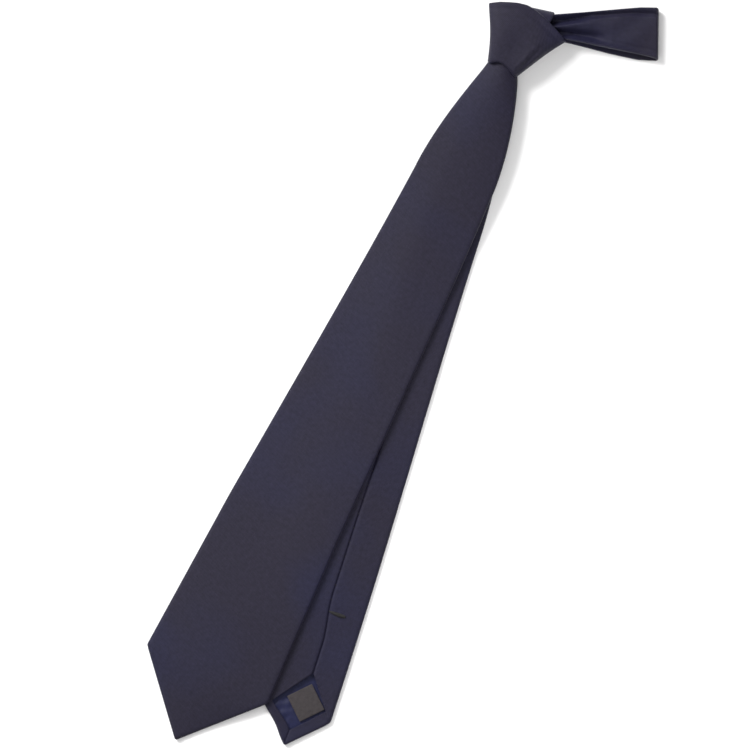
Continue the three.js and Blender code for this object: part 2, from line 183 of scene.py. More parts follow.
def woven(name, dark, pale, patch_tone_and_sheen, pitch, turn, rough, sheen, sheen_tint, depth, gloss=0.35):
    """Cloth woven on the bias: twill ribs of the given pitch in metres, fine threads across them."""
    material, nodes, links, shader = new_material(name)
    where = nodes.new("ShaderNodeUVMap")
    turned = node(nodes, "ShaderNodeMapping")
    turned.inputs["Rotation"].default_value = (0.0, 0.0, turn)
    links.new(where.outputs["UV"], turned.inputs["Vector"])
    ribs = node(nodes, "ShaderNodeTexWave", Scale=0.314 / pitch, Distortion=0.6, Detail=1.0)
    ribs.inputs["Detail Scale"].default_value = 0.6
    links.new(turned.outputs["Vector"], ribs.inputs["Vector"])
    crossed = node(nodes, "ShaderNodeMapping")
    crossed.inputs["Rotation"].default_value = (0.0, 0.0, turn + math.radians(63))
    links.new(where.outputs["UV"], crossed.inputs["Vector"])
    picks = node(nodes, "ShaderNodeTexWave", Scale=0.314 / (pitch * 0.6), Distortion=1.0, Detail=1.0)
    links.new(crossed.outputs["Vector"], picks.inputs["Vector"])
    slubs = node(nodes, "ShaderNodeMapping")
    slubs.inputs["Rotation"].default_value = (0.0, 0.0, turn)
    slubs.inputs["Scale"].default_value = (1.0, 0.22, 1.0)
    links.new(where.outputs["UV"], slubs.inputs["Vector"])
    threads = node(nodes, "ShaderNodeTexNoise", Scale=1500.0, Detail=3.0)
    links.new(slubs.outputs["Vector"], threads.inputs["Vector"])
    space = nodes.new("ShaderNodeTexCoord")
    drift = node(nodes, "ShaderNodeMapping")
    drift.inputs["Location"].default_value = PATCH_AND_SHEEN_SHIFT
    links.new(space.outputs["Object"], drift.inputs["Vector"])
    # Soft patches of a second colour: random tone, and on the silk bluish patches that are painted
    # sheen.
    patch_and_sheen_noise = node(nodes, "ShaderNodeTexNoise", Scale=14.0, Detail=2.0)
    links.new(drift.outputs["Vector"], patch_and_sheen_noise.inputs["Vector"])
    grain = node(nodes, "ShaderNodeTexNoise", Scale=420.0, Detail=2.0)
    links.new(where.outputs["UV"], grain.inputs["Vector"])
    height = added(nodes, links, ribs.outputs["Fac"], picks.outputs["Fac"], 0.5)
    height = added(nodes, links, height, threads.outputs["Fac"], 0.9)
    weave = ramp(nodes, links, height, 0.5, 1.9)
    plain = mixed(nodes, links, weave, dark, pale)
    spread = ramp(nodes, links, patch_and_sheen_noise.outputs["Fac"], 0.42, 0.66)
    patched_tone_and_sheen = mixed(nodes, links, spread, plain, patch_tone_and_sheen)
    half = nodes.new("ShaderNodeMix")
    half.data_type = "RGBA"
    half.inputs["Factor"].default_value = PATCH_AND_SHEEN_SHARE
    links.new(plain, half.inputs["A"])
    links.new(patched_tone_and_sheen, half.inputs["B"])
    grains = ramp(nodes, links, grain.outputs["Fac"], 0.25, 0.75)
    lit = nodes.new("ShaderNodeMix")
    lit.data_type = "RGBA"
    lit.blend_type = "MULTIPLY"
    lit.inputs["Factor"].default_value = GRAIN_SHARE
    links.new(half.outputs["Result"], lit.inputs["A"])
    links.new(grains, lit.inputs["B"])
    links.new(lit.outputs["Result"], shader.inputs["Base Color"])
    raised = node(nodes, "ShaderNodeBump", Strength=0.6, Distance=depth)
    links.new(height, raised.inputs["Height"])
    links.new(raised.outputs["Normal"], shader.inputs["Normal"])
    polish = nodes.new("ShaderNodeMapRange")
    polish.inputs["To Min"].default_value = rough + 0.08
    polish.inputs["To Max"].default_value = rough - 0.06
    links.new(grain.outputs["Fac"], polish.inputs["Value"])
    links.new(polish.outputs["Result"], shader.inputs["Roughness"])
    shader.inputs["Specular IOR Level"].default_value = gloss
    shader.inputs["Sheen Weight"].default_value = sheen
    shader.inputs["Sheen Roughness"].default_value = 0.4
    shader.inputs["Sheen Tint"].default_value = (*sheen_tint, 1.0)
    return material


silk = woven(
    "navy_silk_twill",
    dark=(0.0082, 0.0068, 0.0167),
    pale=(0.0184, 0.0156, 0.0330),
    # Bluish patch colour: partly random tone, partly painted sheen.
    patch_tone_and_sheen=(0.0112, 0.0128, 0.0440),
    pitch=0.00075,
    turn=math.radians(45),
    rough=0.52,
    sheen=0.05,
    sheen_tint=(0.6, 0.66, 1.0),
    depth=0.00014,
    gloss=0.16,
)
satin = woven(
    "blue_satin_lining",
    dark=(0.0044, 0.0054, 0.0265),
    pale=(0.0122, 0.0144, 0.0560),
    patch_tone_and_sheen=(0.0080, 0.0098, 0.0440),
    pitch=0.0004,
    turn=math.radians(0),
    rough=0.5,
    sheen=0.05,
    sheen_tint=(0.6, 0.7, 1.0),
    depth=0.00004,
    gloss=0.18,
)
label_cloth = woven(
    "woven_label_cloth",
    dark=(0.0182, 0.0146, 0.0159),
    pale=(0.0408, 0.0328, 0.0357),
    patch_tone_and_sheen=(0.0296, 0.0238, 0.0259),
    pitch=0.0005,
    turn=math.radians(90),
    rough=0.7,
    sheen=0.1,
    sheen_tint=(1.0, 0.95, 0.9),
    depth=0.00006,
)
thread = woven(
    "dark_sewing_thread",
    dark=(0.0036, 0.0032, 0.0030),
    pale=(0.0100, 0.0088, 0.0082),
    patch_tone_and_sheen=(0.0068, 0.0060, 0.0056),
    pitch=0.0003,
    turn=math.radians(30),
    rough=0.6,
    sheen=0.1,
    sheen_tint=(0.7, 0.7, 1.0),
    depth=0.00006,
)


# ---------------------------------------------------------------- meshes


def grid(name, points, material, wrap=False, caps=False, flip=False):
    """A sheet through points[row, column] in millimetres, with UVs in metres along its own cloth."""
    rows, columns, _ = points.shape
    shift = columns if wrap else columns - 1
    at = np.arange(rows * columns).reshape(rows, columns)
    turned = np.roll(at, -1, axis=1)
    a = at[:-1, :shift]
    b = turned[:-1, :shift] if wrap else at[:-1, 1:]
    c = turned[1:, :shift] if wrap else at[1:, 1:]
    d = at[1:, :shift]
    quads = np.stack([a, b, c, d], axis=-1).reshape(-1, 4)
    if flip:
        quads = quads[:, ::-1]
    faces = [tuple(int(v) for v in quad) for quad in quads]
    if caps:
        first = [int(v) for v in at[0]]
        last = [int(v) for v in at[-1]]
        faces.append(tuple(first if flip else first[::-1]))
        faces.append(tuple(last[::-1] if flip else last))
    mesh = bpy.data.meshes.new(name)
    mesh.from_pydata([tuple(p) for p in place(points).reshape(-1, 3)], [], faces)
    closed = np.concatenate([points, points[:, :1]], axis=1) if wrap else points
    across = np.linalg.norm(np.diff(closed, axis=1), axis=2).cumsum(axis=1)
    across = np.concatenate([np.zeros((rows, 1)), across], axis=1)
    across -= across[:, -1:] / 2
    down = np.linalg.norm(np.diff(points.mean(axis=1), axis=0), axis=1).cumsum()
    down = np.concatenate([[0.0], down])
    layer = mesh.uv_layers.new(name="UVMap")
    uv = np.zeros((len(mesh.loops), 2))
    index = 0
    for i in range(rows - 1):
        for j in range(shift):
            corners = [(i, j), (i, j + 1), (i + 1, j + 1), (i + 1, j)]
            if flip:
                corners = corners[::-1]
            for row, column in corners:
                uv[index] = (across[row, column] * MM, down[row] * MM)
                index += 1
    layer.data.foreach_set("uv", uv.astype(np.float32).ravel())
    mesh.validate()
    for polygon in mesh.polygons:
        polygon.use_smooth = True
    made = bpy.data.objects.new(name, mesh)
    bpy.context.scene.collection.objects.link(made)
    made.data.materials.append(material)
    return made


def applied(piece):
    """Writes the piece's modifiers into its mesh."""
    graph = bpy.context.evaluated_depsgraph_get()
    mesh = bpy.data.meshes.new_from_object(piece.evaluated_get(graph))
    piece.modifiers.clear()
    piece.data = mesh
    return piece


def joined(piece):
    """Welds points that lie on each other, such as where a ring's last row meets its first."""
    made = bmesh.new()
    made.from_mesh(piece.data)
    bmesh.ops.remove_doubles(made, verts=made.verts, dist=WELD)
    made.to_mesh(piece.data)
    made.free()
    return piece


def thickened(piece, thick, offset):
    shell = piece.modifiers.new("cloth", "SOLIDIFY")
    shell.thickness = thick * MM
    shell.offset = offset
    shell.use_even_offset = False
    return applied(piece)


def rounded_section(left, right, thick, flat, side, opening=None):
    """Across one folded sleeve: (a, b) with b 0 at its back. opening leaves the back open there."""
    roll = np.minimum(side, (right - left) * 0.45)
    turn = np.linspace(-math.pi / 2, math.pi / 2, 9)[1:-1]
    centre = thick / 2
    top = np.linspace(right - roll, left + roll, flat)
    right_a = right - roll + roll * np.cos(turn)
    left_a = left + roll - roll * np.cos(turn)
    rise = centre + centre * np.sin(turn)
    if opening is None:
        back = np.linspace(left + roll, right - roll, flat)
        a = np.concatenate([right_a, top, left_a, back])
        b = np.concatenate([rise, np.full(flat, thick), rise[::-1], np.zeros(flat)])
        return a, b
    reach = max(10, flat // 2)
    right_back = np.linspace(max(opening[1], left), right - roll, reach)
    left_back = np.linspace(left + roll, min(opening[0], right), reach)
    a = np.concatenate([right_back, right_a, top, left_a, left_back])
    zero = np.zeros(reach)
    b = np.concatenate([zero, rise, np.full(flat, thick), rise[::-1], zero])
    return a, b


def stations_between(edges, step):
    """Stations down a blade that fall exactly on every edge, about a step apart between them."""
    stations = []
    for low, high in zip(edges[:-1], edges[1:]):
        count = max(2, int(round((high - low) / step)))
        stations.extend(np.linspace(low, high, count, endpoint=False))
    stations.append(edges[-1])
    return np.array(stations)


def softer_min(a, b, blur):
    """The smaller of a and b, rounded off over about a blur where they cross."""
    return -blur * np.logaddexp(-a / blur, -b / blur)


# ---------------------------------------------------------------- tail (lies back side up)


def tail_half(s):
    """Half the tail's width: quickly wider out of the knot, then slowly to its corners, then the tip."""
    up = TAIL_LENGTH - s
    if s < TAIL_WAIST_AT:
        along = max(0.0, s - TAIL_WIDENS_AT) / (TAIL_WAIST_AT - TAIL_WIDENS_AT)
        widened = (1 - (1 - along) ** 2) * ease(5 * along)
        body = TAIL_AT_KNOT + (TAIL_WAIST - TAIL_AT_KNOT) * widened
    else:
        body = TAIL_WAIST + (TAIL_CORNER - TAIL_WAIST) * ease((s - TAIL_WAIST_AT) / TAIL_FLARE)
    point = TAIL_CORNER * up / TAIL_DROP
    return float(max(0.35, softer_min(body, point, 0.55)))


def tail_axis_x(up):
    return (TAIL_UP - up) * math.tan(TAIL_ANGLE)


def tail_point(s, a, z):
    """A point s down the tail's axis, a to its right."""
    s, a, z = np.broadcast_arrays(s, a, z)
    x = s * math.sin(TAIL_ANGLE) + a * math.cos(TAIL_ANGLE)
    up = TAIL_UP - s * math.cos(TAIL_ANGLE) + a * math.sin(TAIL_ANGLE)
    return np.stack([x, up, z], axis=-1)


def tail_low(s):
    """Height of the tail's underside: raised at the knot, down to the table over its first 75 mm."""
    return 5.4 * (1 - ease((s - 15.4) / 60)) + 0.05


def tail_lift(s, a):
    """Small waves in the tail's cloth."""
    wave = 0.25 * np.sin(s / 31 + a / 19) + 0.15 * np.sin(s / 13 - a / 11)
    return np.maximum(0.0, wave) * ease((s - 60) / 40)


def seam_shift(s):
    """How far right of the tail's axis its back seam runs."""
    return -1.0 + 3.4 * ease((s - 335) / 32)


def edge_at(up, first, second):
    """Where the straight edge between two (a, up) corners of the opening is at this height."""
    return first[0] + (second[0] - first[0]) * (up - first[1]) / (second[1] - first[1])


def tail_opening(s):
    """The left and right flaps' edges at s: the seam above, the lining's opening near the tip."""
    up = TAIL_LENGTH - s
    if up > TAIL_APEX[1]:
        return seam_shift(s) - SEAM, seam_shift(s) + SEAM
    left = max(edge_at(up, TAIL_APEX, TAIL_LEFT), edge_at(up, TAIL_POINT, TAIL_LEFT))
    right = min(edge_at(up, TAIL_APEX, TAIL_RIGHT), edge_at(up, TAIL_POINT, TAIL_RIGHT))
    if right - left < 2 * SEAM:
        middle = TAIL_APEX[0] if up > TAIL_LEFT[1] else TAIL_POINT[0]
        return middle - SEAM, middle + SEAM
    return left, right


def tail_tip_bend(s, a):
    """The soft tip isn't quite square: its point leans left and its left hem is pulled in."""
    up = TAIL_LENGTH - s
    lean = -0.9 * ease((20 - up) / 20)
    pulled = 1.2 * bump(up, 11.0, 6.0) * ease(-a / 8.0)
    return a + lean + pulled


def make_tail():
    corners = [TAIL_APEX[1], TAIL_RIGHT[1], TAIL_LEFT[1], TAIL_DROP, TAIL_POINT[1], 0.4]
    edges = [-3.0] + [TAIL_LENGTH - up for up in corners]
    rows = []
    for s in stations_between(edges, 2.0):
        half = tail_half(s)
        left, right = tail_opening(s)
        left, right = max(left, -half * 0.96), min(right, half * 0.96)
        a, b = rounded_section(-half, half, TAIL_THICK, 30, 1.8, opening=(left, right))
        on_back = b < 0.01
        opened = ease((right - left - 2 * SEAM) / 9.0)
        from_left, from_right = np.abs(a - left), np.abs(a - right)
        lip = 0.14 * np.exp(-from_left / 2.4) + 0.20 * np.exp(-from_right / 2.4)
        groove = np.exp(-((a - (left + right) / 2) / 0.8) ** 2)
        crease = 0.14 * np.exp(-from_right / 4.0) - 0.34 * groove
        curl = np.where(on_back, lip * opened + crease * (1 - opened), 0.0)
        bent = tail_tip_bend(s, a)
        z = tail_low(s) + tail_lift(s, bent) + TAIL_THICK - b + curl
        rows.append(tail_point(s, bent, z))
    return grid("tail_silk_cloth", np.array(rows), silk)


def flat_patch(name, outline_half, stations, lift, columns, material, point):
    rows = []
    for s in stations:
        a = np.linspace(-outline_half(s), outline_half(s), columns)
        rows.append(point(s, a, lift(s, a)))
    return grid(name, np.array(rows), material)


# ---------------------------------------------------------------- front blade


def front_half(s):
    """Half the front blade's width, from the knot's foot to its pointed tip."""
    up = FRONT_LENGTH - s
    if s < FRONT_WAIST_AT:
        widened = 1 - (1 - max(0.0, s) / FRONT_WAIST_AT) ** 1.7
        body = FRONT_AT_KNOT + (FRONT_WAIST - FRONT_AT_KNOT) * widened
    else:
        along = (s - FRONT_WAIST_AT) / (FRONT_LENGTH - FRONT_DROP - FRONT_WAIST_AT)
        body = FRONT_WAIST + (FRONT_CORNER - FRONT_WAIST) * along
    point = FRONT_CORNER * up / FRONT_DROP
    return float(max(0.4, softer_min(body + min(0.0, s) * 0.25, point, 0.35)))


def front_centre(s):
    """How far the blade's middle lies to the right of straight down."""
    return 3.3 * math.sin(math.pi * min(1.0, max(0.0, s) / 300) ** 0.6)


def front_low(s, x):
    """Height of the blade's underside: on the table at its left, over the tail at its right."""
    beside = min(s + TAIL_UP, TAIL_LENGTH - 1)
    left_of_tail = tail_axis_x(-s) - tail_half(beside) / math.cos(TAIL_ANGLE)
    left = front_centre(s) - front_half(s)
    share = (x - left) / max(12.0, left_of_tail - left)
    eased = share - np.log1p(np.exp(8.0 * (share - 1.0))) / 8.0
    past = ease((TAIL_LENGTH + 10 - s) / 30)
    fall = ease((s - 6) / 150)
    return 10.3 * (1 - fall) + fall * (0.12 + 3.5 * eased * past)


def front_back(s, a):
    """Height of the blade's back, a to the right of its middle: domed near the knot, faintly waved."""
    u = a / front_half(s)
    near = math.exp(-max(0.0, s) / 55)
    dome = (0.5 + 3.0 * near) * (1 - u**2)
    wave = 0.22 * np.sin(s / 47 + u * 2.1) + 0.12 * np.sin(s / 19 - u * 3.0)
    wave = np.maximum(wave * ease((s - 40) / 60), -0.1)
    return front_low(s, front_centre(s) + a) + dome - (0.4 + 2.5 * near) * near + wave + 0.1


def front_point(s, a, z):
    s, a, z = np.broadcast_arrays(s, a, z)
    return np.stack([front_centre(float(s.flat[0])) + a, -s, z], axis=-1)


def front_opening(s):
    """Half the width between the flaps: a closed seam above, the lining's opening near the tip."""
    up = FRONT_LENGTH - s
    slope = FRONT_CORNER / FRONT_DROP
    hem_edge = (up - FRONT_HEM * math.sqrt(2)) * slope
    return max(SEAM, min(hem_edge, (FRONT_APEX - up) * slope))


def make_front():
    widest = (FRONT_APEX + FRONT_HEM * math.sqrt(2)) / 2
    corners = [FRONT_APEX, widest, FRONT_DROP, FRONT_HEM * math.sqrt(2), 0.5]
    edges = [-9.0] + [FRONT_LENGTH - up for up in corners]
    rows = []
    for s in stations_between(edges, 2.4):
        half = front_half(s)
        gap = min(front_opening(s), half * 0.96)
        a, b = rounded_section(-half, half, FRONT_THICK, 44, 2.0, opening=(-gap, gap))
        on_back = b < 0.01
        seam = 0.35 * np.exp(-((a / 0.8) ** 2)) if gap < 2 * SEAM else 0.0
        rows.append(front_point(s, a, front_back(s, a) + b + np.where(on_back, seam, 0.0)))
    return grid("front_silk_cloth", np.array(rows), silk)


# ---------------------------------------------------------------- knot


def knot_left(up):
    """The knot's left side at this height."""
    return -(10.0 + 0.46 * up - 1.2 * math.sin(math.pi * np.clip(up / KNOT_HEIGHT, 0, 1)))


def knot_right(up):
    """The knot's right side at this height, flaring towards the top."""
    return 10.0 + 0.50 * up + 0.028 * max(0.0, up - 18) ** 1.5


def band_rim(x):
    """The band's upper edge, highest left of the middle and falling to its right corner."""
    xs = [-27, -24.1, -19, -14.3, -9, -3.3, 1, 4.2, 10, 15.1, 19, 23.8, 27, 30]
    ys = [30.2, 31.6, 34.6, 36.6, 38.6, 39.8, 39.6, 38.9, 37.3, 35.5, 34.2, 32.3, 30.6, 30.2]
    return np.interp(x, xs, ys)


def band_foot(x):
    """The band's lower edge, arched over the front blade."""
    xs = [-11, -10, -7, -4.2, -1, 2.5, 5.5, 7.9, 10, 11]
    ys = [0.2, 0.5, 2.3, 3.4, 3.6, 2.9, 1.7, 0.6, -0.3, -0.4]
    return np.interp(x, xs, ys)


def make_band():
    """The band round the knot: a closed ring whose skin runs outside, over its rim and back inside."""
    around = np.linspace(0, 2 * math.pi, 168, endpoint=False)
    heights = 56
    rows = []
    thick = BAND_THICK
    for angle in around:
        c, s = math.cos(angle), math.sin(angle)
        power = 2 / 3.2
        ux = math.copysign(abs(c) ** power, c)
        uz = math.copysign(abs(s) ** (2 / 2.6), s)
        outer = []
        for v in np.linspace(0, 1, heights):
            up = KNOT_HEIGHT * v
            for _ in range(2):
                left, right = knot_left(up), knot_right(up)
                x = (left + right) / 2 + (right - left) / 2 * ux
                front = ease((uz + 0.25) / 0.6)
                foot = 0.6 * (1 - front) + band_foot(x) * front
                rim = KNOT_HEIGHT * (1 - front) + band_rim(x) * front
                up = foot + (rim - foot) * v
            half_z = 6.9 + 1.1 * math.sin(math.pi * min(1.0, v * 0.9 + 0.1))
            middle = 2.6 + half_z
            z = middle + half_z * uz
            outer.append((x, up, z))
        outer = np.array(outer)
        edge = math.pi * np.linspace(0, 1, 7)[1:-1]
        inward = np.array([-c, 0.0, -s])
        inner = outer[::-1] + inward * thick
        low = outer[0] + inward * thick / 2
        high = outer[-1] + inward * thick / 2
        along_low = outer[0] - outer[1]
        along_low /= np.linalg.norm(along_low)
        along_high = outer[-1] - outer[-2]
        along_high /= np.linalg.norm(along_high)
        r = thick / 2
        bulge = r * 0.9
        top_roll = [high - inward * r * math.cos(e) + along_high * bulge * math.sin(e) for e in edge]
        foot_roll = [low + inward * r * math.cos(e) + along_low * bulge * math.sin(e) for e in edge]
        rows.append(np.concatenate([outer, top_roll, inner, foot_roll]))
    points = np.array(rows)
    # Soft folds run up from the foot, with a slight hollow across the middle and under the rim.
    x, up, z = points[..., 0], points[..., 1], points[..., 2]
    face = ease((z - 10) / 4)
    folds = 0.40 * bump(x - 0.32 * up, 5.6, 1.6) - 0.55 * bump(x - 0.32 * up, 8.2, 1.2)
    folds += 0.35 * bump(x - 0.35 * up, 10.4, 1.2)
    fade = ease(up / 6) * ease((27 - up) / 14)
    hollow = -0.7 * bump(x, 1.5, 8.0) * bump(up, 15, 9)
    rim_hollow = -0.35 * bump(band_rim(x) - up, 3.2, 1.4)
    points[..., 2] += face * (folds * fade + hollow + rim_hollow)
    points = np.concatenate([points, points[:1]], axis=0)
    return joined(grid("knot_band_cloth", points, silk, wrap=True))


def make_over_fold():
    """The last pass: up behind the knot, over its top edge and down behind the band."""
    across = 40
    profile = []
    back, front, top = 1.4, 13.6, 39.3
    for up in np.linspace(8, top - 6, 14):
        profile.append((up, back, 0.0))
    for turn in np.linspace(0, math.pi, 26)[1:-1]:
        z = (back + front) / 2 - (front - back) / 2 * math.cos(turn)
        up = top - 6 + 6.6 * math.sin(turn) ** 0.8
        profile.append((up, z, turn))
    for up in np.linspace(top - 6, 6, 24):
        profile.append((up, front - 0.10 * (top - 6 - up) * 0.9, math.pi))
    rows = []
    for up, z, turn in profile:
        level = min(1.0, max(0.0, (up - 4) / 30))
        left = -8.0 - 7.0 * level
        right = 7.0 + 6.6 * level
        a, b = rounded_section(left, right, OVER_FOLD_THICK, across, 1.4)
        c, s = math.cos(turn), math.sin(turn)
        out = b - OVER_FOLD_THICK / 2
        shear = 0.245 * a * ease((up - 19) / 13)
        crown = 0.6 * bump(a, 4.0, 10.0) * (1 if turn > 2 else 0.3)
        rows.append(
            np.stack(
                [a, up + shear + out * s, z + crown - out * c],
                axis=-1,
            )
        )
    return grid("knot_over_fold_cloth", np.array(rows), silk, wrap=True, caps=True)


# ---------------------------------------------------------------- neck loop


def neck_point(s, t, z):
    """A point s along the neck from the knot's mouth, t across it."""
    s, t, z = np.broadcast_arrays(s, t, z)
    c, k = math.cos(NECK_ANGLE), math.sin(NECK_ANGLE)
    x = MOUTH[0] + s * c - t * k
    up = MOUTH[1] + s * k + t * c
    return np.stack([x, up, z], axis=-1)


def upper_pleats(s, t):
    """Height change over the upper ply: two hollows that start at the mouth, a ridge, a rolled edge."""
    first_s = [-12, -4.6, 2.8, 10.2, 17.6, 27.6, 42.5, 57.5]
    first = np.interp(s, first_s, [3.2, 3.9, 4.8, 6.5, 8.4, 9.5, 11.5, 11.7])
    first_deep = np.interp(s, [-4, 4, 12, 20, 30, 58], [4.6, 4.4, 3.2, 1.9, 1.4, 1.1])
    first_wide = np.interp(s, [-4, 12, 30, 58], [2.4, 2.0, 1.3, 1.2])
    second = np.interp(s, [-12, -0.2, 8.3, 18.3, 28.4, 40], [-3.4, -3.4, -3.0, -3.7, -4.6, -5.5])
    second_deep = np.interp(s, [-4, 4, 12, 22, 27, 31], [5.0, 4.9, 4.4, 3.6, 1.2, 0.0])
    second_wide = np.interp(s, [-4, 10, 24], [2.2, 2.5, 3.4])
    crest = np.interp(s, [0, 3.4, 18.5, 33.7, 48.9, 59.0], [-5.4, -5.7, -7.6, -10.0, -12.4, -14.0])
    z = -first_deep * bump(t, first, first_wide) - second_deep * bump(t, second, second_wide)
    z = z + 0.7 * bump(t, crest, 1.2) - 0.45 * bump(t, crest + 3.0, 1.4)
    z = z - 0.9 * ease((crest - t) / 1.4)
    z = z + 1.1 * ease((t - first) / 3.4)
    ridge = np.interp(s, [-4, 10, 30], [0.6, 3.2, 4.0])
    z = z + np.interp(s, [-4, 8, 26], [1.2, 0.8, 0.0]) * bump(t, ridge, 1.8)
    ripple = 0.26 * np.sin(s / 6.1 + t / 4.0) + 0.20 * np.sin(s / 3.7 - t / 2.9 + 1.0)
    z = z + ripple * ease((s - 20) / 12) * ease((57 - s) / 8)
    return z


def neck_top_up(s):
    """How far across the upper ply's top edge lies, pulled in where it enters the knot."""
    return np.interp(s, [-9, -5.4, -4.2, 12.5, 37.4, 47.3, 58], [2.5, 4.6, 7.9, 10.1, 13.8, 15.2, 15.7])


def neck_bottom_up(s):
    """How far across the upper ply's bottom edge lies."""
    at = [-9, 2.5, 13.6, 29.8, 44.0, 53.0, 59.1]
    return np.interp(s, at, [-5.9, -6.6, -8.0, -10.5, -12.6, -14.1, -15.6])


def neck_bottom_low(s):
    """How far across the lower ply's bottom edge lies, a little beyond the upper ply's."""
    return np.interp(s, [-9, 4.6, 13.7, 31.4, 46.6, 58], [-6.6, -8.6, -10.2, -13.7, -16.2, -16.2])


def make_neck():
    """The neck loop as one sleeve: out along the lower ply, round the fold, back along the upper ply."""
    stations = []
    lower, upper, upper_at_fold = PLY / 2 + 0.1, 9.3, 6.6
    for s in np.linspace(-9, FOLD_AT, 56):
        stations.append((s, -1, 0.0))
    for turn in np.linspace(0, math.pi, 18)[1:-1]:
        stations.append((FOLD_AT, 0, turn))
    for s in np.linspace(FOLD_AT, -9, 90):
        stations.append((s, 1, math.pi))
    rows = []
    for s, side, turn in stations:
        low_lift = 5.0 * (1 - ease((s + 2) / 26)) if side <= 0 else 0.0
        mouth_lift = 0.9 * (1 - ease((s + 2) / 30))
        thick = PLY + (PLY_AT_FOLD - PLY) * ease((s - 40) / (FOLD_AT - 40))
        radius = (upper_at_fold - lower) / 2
        reach = 0.0
        if side == 0:
            reach = radius * FOLD_REACH * math.sin(turn)
            z = lower + radius - radius * math.cos(turn)
        elif side < 0:
            z = lower + low_lift
        else:
            towards_fold = ease((s - 8) / (FOLD_AT - 8))
            z = upper + (upper_at_fold - upper) * towards_fold + mouth_lift
        share = ease(turn / math.pi)
        bottom = neck_bottom_low(s) * (1 - share) + neck_bottom_up(s) * share
        top = neck_top_up(s) - 0.8 * (1 - share)
        t, b = rounded_section(bottom, top, thick, 64, 0.8)
        out = b - thick / 2
        c, k = math.cos(turn), math.sin(turn)
        past_half = ease((turn - math.pi * 0.5) / (math.pi * 0.5))
        pleat = upper_pleats(s, t) * past_half if side >= 0 else 0.0
        skew = 0.045 * (15.5 - t) * ease((s - 25) / 30)
        rows.append(neck_point(s + reach + skew + out * k, t, z + pleat - out * c))
    return grid("neck_loop_cloth", np.array(rows), silk, wrap=True, flip=True)


# ---------------------------------------------------------------- build and attach


def row(x, up, z):
    return tuple(place(np.array([x, up, z])))


tail_piece = thickened(make_tail(), SILK, 0.0)
front_piece = thickened(make_front(), SILK, 0.0)
band_piece = thickened(make_band(), SILK, -1.0)
over_piece = thickened(make_over_fold(), SILK, -1.0)
neck_piece = thickened(make_neck(), SILK, -1.0)

def tail_satin_half(s):
    return max(0.2, tail_half(s) - 1.6)


def tail_satin_lift(s, a):
    """The lining is a little loose in its opening, so it lies in small folds."""
    folds = 0.20 * np.sin(a / 1.3 + s / 1.9) * np.sin(s / 2.7 - a / 3.1)
    folds = folds + 0.07 * np.sin(s / 0.9 + a / 1.7)
    sunk = 0.5 * ease((TAIL_LENGTH - s - 22 - 0.5 * a) / 10)
    return tail_low(s) + TAIL_THICK - TAIL_SATIN_DEEP - sunk + folds * ease((-a - 1) / 4)


tail_satin = flat_patch(
    "tail_tipping_satin",
    tail_satin_half,
    np.linspace(TAIL_LENGTH - 62, TAIL_LENGTH - 2.4, 90),
    tail_satin_lift,
    48,
    satin,
    tail_point,
)
thickened(tail_satin, SATIN, 0.0)


def front_satin_half(s):
    return max(0.2, front_half(s) - 2.4)


def front_satin_lift(s, a):
    return front_back(s, a) + 0.95


front_satin = flat_patch(
    "front_tipping_satin",
    front_satin_half,
    np.linspace(FRONT_LENGTH - 110, FRONT_LENGTH - 3.6, 80),
    front_satin_lift,
    50,
    satin,
    front_point,
)
thickened(front_satin, SATIN, 0.0)


def plate(name, corners, lift, thick, material, subdivide, point, crown=0.0):
    """A small flat piece between four (s, a) corners, softly crowned, with rounded edges."""
    corners = np.array(corners, float)
    u = np.linspace(0, 1, subdivide)
    rows = []
    for v in u:
        start = corners[0] * (1 - v) + corners[3] * v
        end = corners[1] * (1 - v) + corners[2] * v
        line = start[None, :] * (1 - u[:, None]) + end[None, :] * u[:, None]
        rise = crown * (math.sin(math.pi * v) * np.sin(math.pi * u)) ** 0.5
        rows.append(point(line[:, 0], line[:, 1], lift + rise))
    piece = grid(name, np.array(rows), material)
    shell = piece.modifiers.new("cloth", "SOLIDIFY")
    shell.thickness = thick * MM
    shell.offset = 0.0
    soft = piece.modifiers.new("edge", "BEVEL")
    soft.width = thick * 0.35 * MM
    soft.segments = 2
    soft.limit_method = "ANGLE"
    return applied(piece)


def square(at, shift, long, wide, turn):
    c, s = math.cos(turn), math.sin(turn)
    corners = []
    for u, v in ((-1, -1), (1, -1), (1, 1), (-1, 1)):
        along = at + (u * long * c - v * wide * s) / 2
        aside = shift + (u * long * s + v * wide * c) / 2
        corners.append((along, aside))
    return corners


def bar_tack(name, at, first, last, wide, high, turns, surface, point, up):
    """A bar of thread from a = first to last, wrapped round and round, and fuller at its far end."""
    rows = []
    for v in np.linspace(0, 1, 6 * turns + 1):
        full = math.sin(math.pi * (0.03 + v * 0.94)) ** 0.35 * (0.75 + 0.45 * v)
        wrap = 1.0 + 0.13 * math.sin(2 * math.pi * turns * v)
        angle = np.linspace(0, 2 * math.pi, 10, endpoint=False)
        s = at + 0.35 * math.sin(2.2 * v) + full * wrap * wide / 2 * np.cos(angle)
        a = first + (last - first) * v + 0.10 * np.cos(angle)
        z = surface(at, first + (last - first) * v) + up * full * wrap * high / 2 * (0.6 + np.sin(angle))
        rows.append(point(s, np.full_like(s, 1.0) * a, z))
    return grid(name, np.array(rows), thread, wrap=True, caps=True, flip=up > 0)


